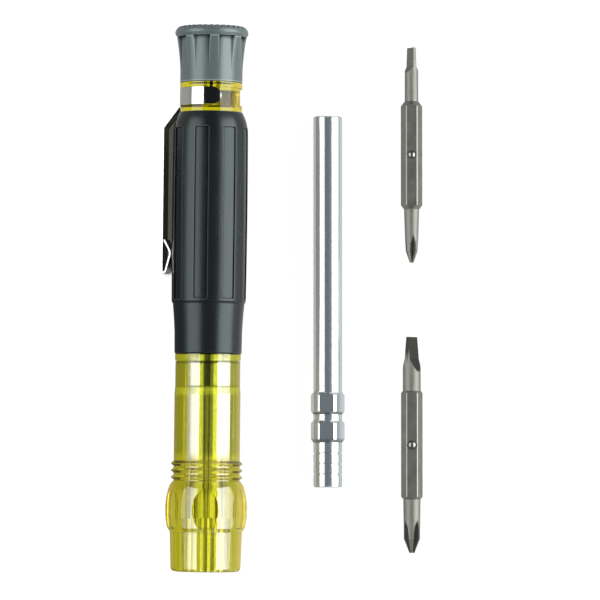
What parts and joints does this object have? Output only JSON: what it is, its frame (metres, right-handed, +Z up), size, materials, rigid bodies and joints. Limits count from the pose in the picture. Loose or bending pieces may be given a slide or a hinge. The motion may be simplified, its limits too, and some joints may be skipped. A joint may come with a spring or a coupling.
{
  "type": "pocket screwdriver set",
  "caption": "Pen-style screwdriver laid out: clear handle with cushion grip, pocket clip and spinning cap, with its reversible shaft and double-ended bits beside it.",
  "frame": {"origin": "on the surface the pieces lie on, under the middle of the layout's box", "axes": "+Y along the pieces, from the nose to the cap; +Z up from the surface; +X from handle to bits"},
  "size_m": [0.0544, 0.1128, 0.016],
  "materials": {
    "clear_yellow": "clear yellow moulding, polished",
    "black_grip": "black cushion moulding with a fine spark-eroded grain",
    "grey_plastic": "grey moulding, satin",
    "polished_spring_steel": "polished and nickel plated strip",
    "plated_bar": "turned bar, bright plated",
    "bit_steel": "matte grey manganese phosphate over ground steel",
    "ball_steel": "polished bearing ball",
    "pin_steel": "plain steel",
    "washer_plastic": "natural plastic washer"
  },
  "bodies": {
    "handle": {"core_body": "clear_yellow", "grip_sleeve": "black_grip", "clip_band": "polished_spring_steel", "cap_washer": "washer_plastic", "cap_pivot_pin": "pin_steel"},
    "cap": {"spin_cap": "grey_plastic", "cap_disc": "grey_plastic"},
    "clip": {"clip_arm": "polished_spring_steel"},
    "shaft": {"shaft": "plated_bar"},
    "small_bit": {"bit_small": "bit_steel", "detent_spring_small": "pin_steel"},
    "small_ball": {"detent_ball_small": "ball_steel"},
    "large_bit": {"bit_large": "bit_steel", "detent_spring_large": "pin_steel"},
    "large_ball": {"detent_ball_large": "ball_steel"}
  },
  "joints": [
    {"name": "cap_spin", "type": "hinge", "parent": "handle", "child": "cap", "pos_m": [-0.01664, 0.05053, 0.008], "axis": [0.0113, 0.9999, 0], "continuous": true},
    {"name": "clip_flex", "type": "hinge", "parent": "handle", "child": "clip", "pos_m": [-0.02295, 0.03977, 0.00663], "axis": [0.2164, -0.0025, -0.9763], "range_deg": [0, 6], "stiffness_Nm_per_rad": 0.05, "springref_deg": -1.15},
    {"name": "shaft_lift", "type": "slide", "parent": "handle", "child": "shaft", "axis": [0, 0, 1], "range_m": [0, 0.03]},
    {"name": "small_bit_lift", "type": "slide", "parent": "handle", "child": "small_bit", "axis": [0, 0, 1], "range_m": [0, 0.03]},
    {"name": "small_ball_press", "type": "slide", "parent": "small_bit", "child": "small_ball", "axis": [0, 0, -1], "range_m": [0, 0.0003], "stiffness_N_per_m": 300, "springref_m": -0.0003, "deforming": ["detent_spring_small"]},
    {"name": "large_bit_lift", "type": "slide", "parent": "handle", "child": "large_bit", "axis": [0, 0, 1], "range_m": [0, 0.03]},
    {"name": "large_ball_press", "type": "slide", "parent": "large_bit", "child": "large_ball", "axis": [0, 0, -1], "range_m": [0, 0.0003], "stiffness_N_per_m": 300, "springref_m": -0.0003, "deforming": ["detent_spring_large"]}
  ]
}
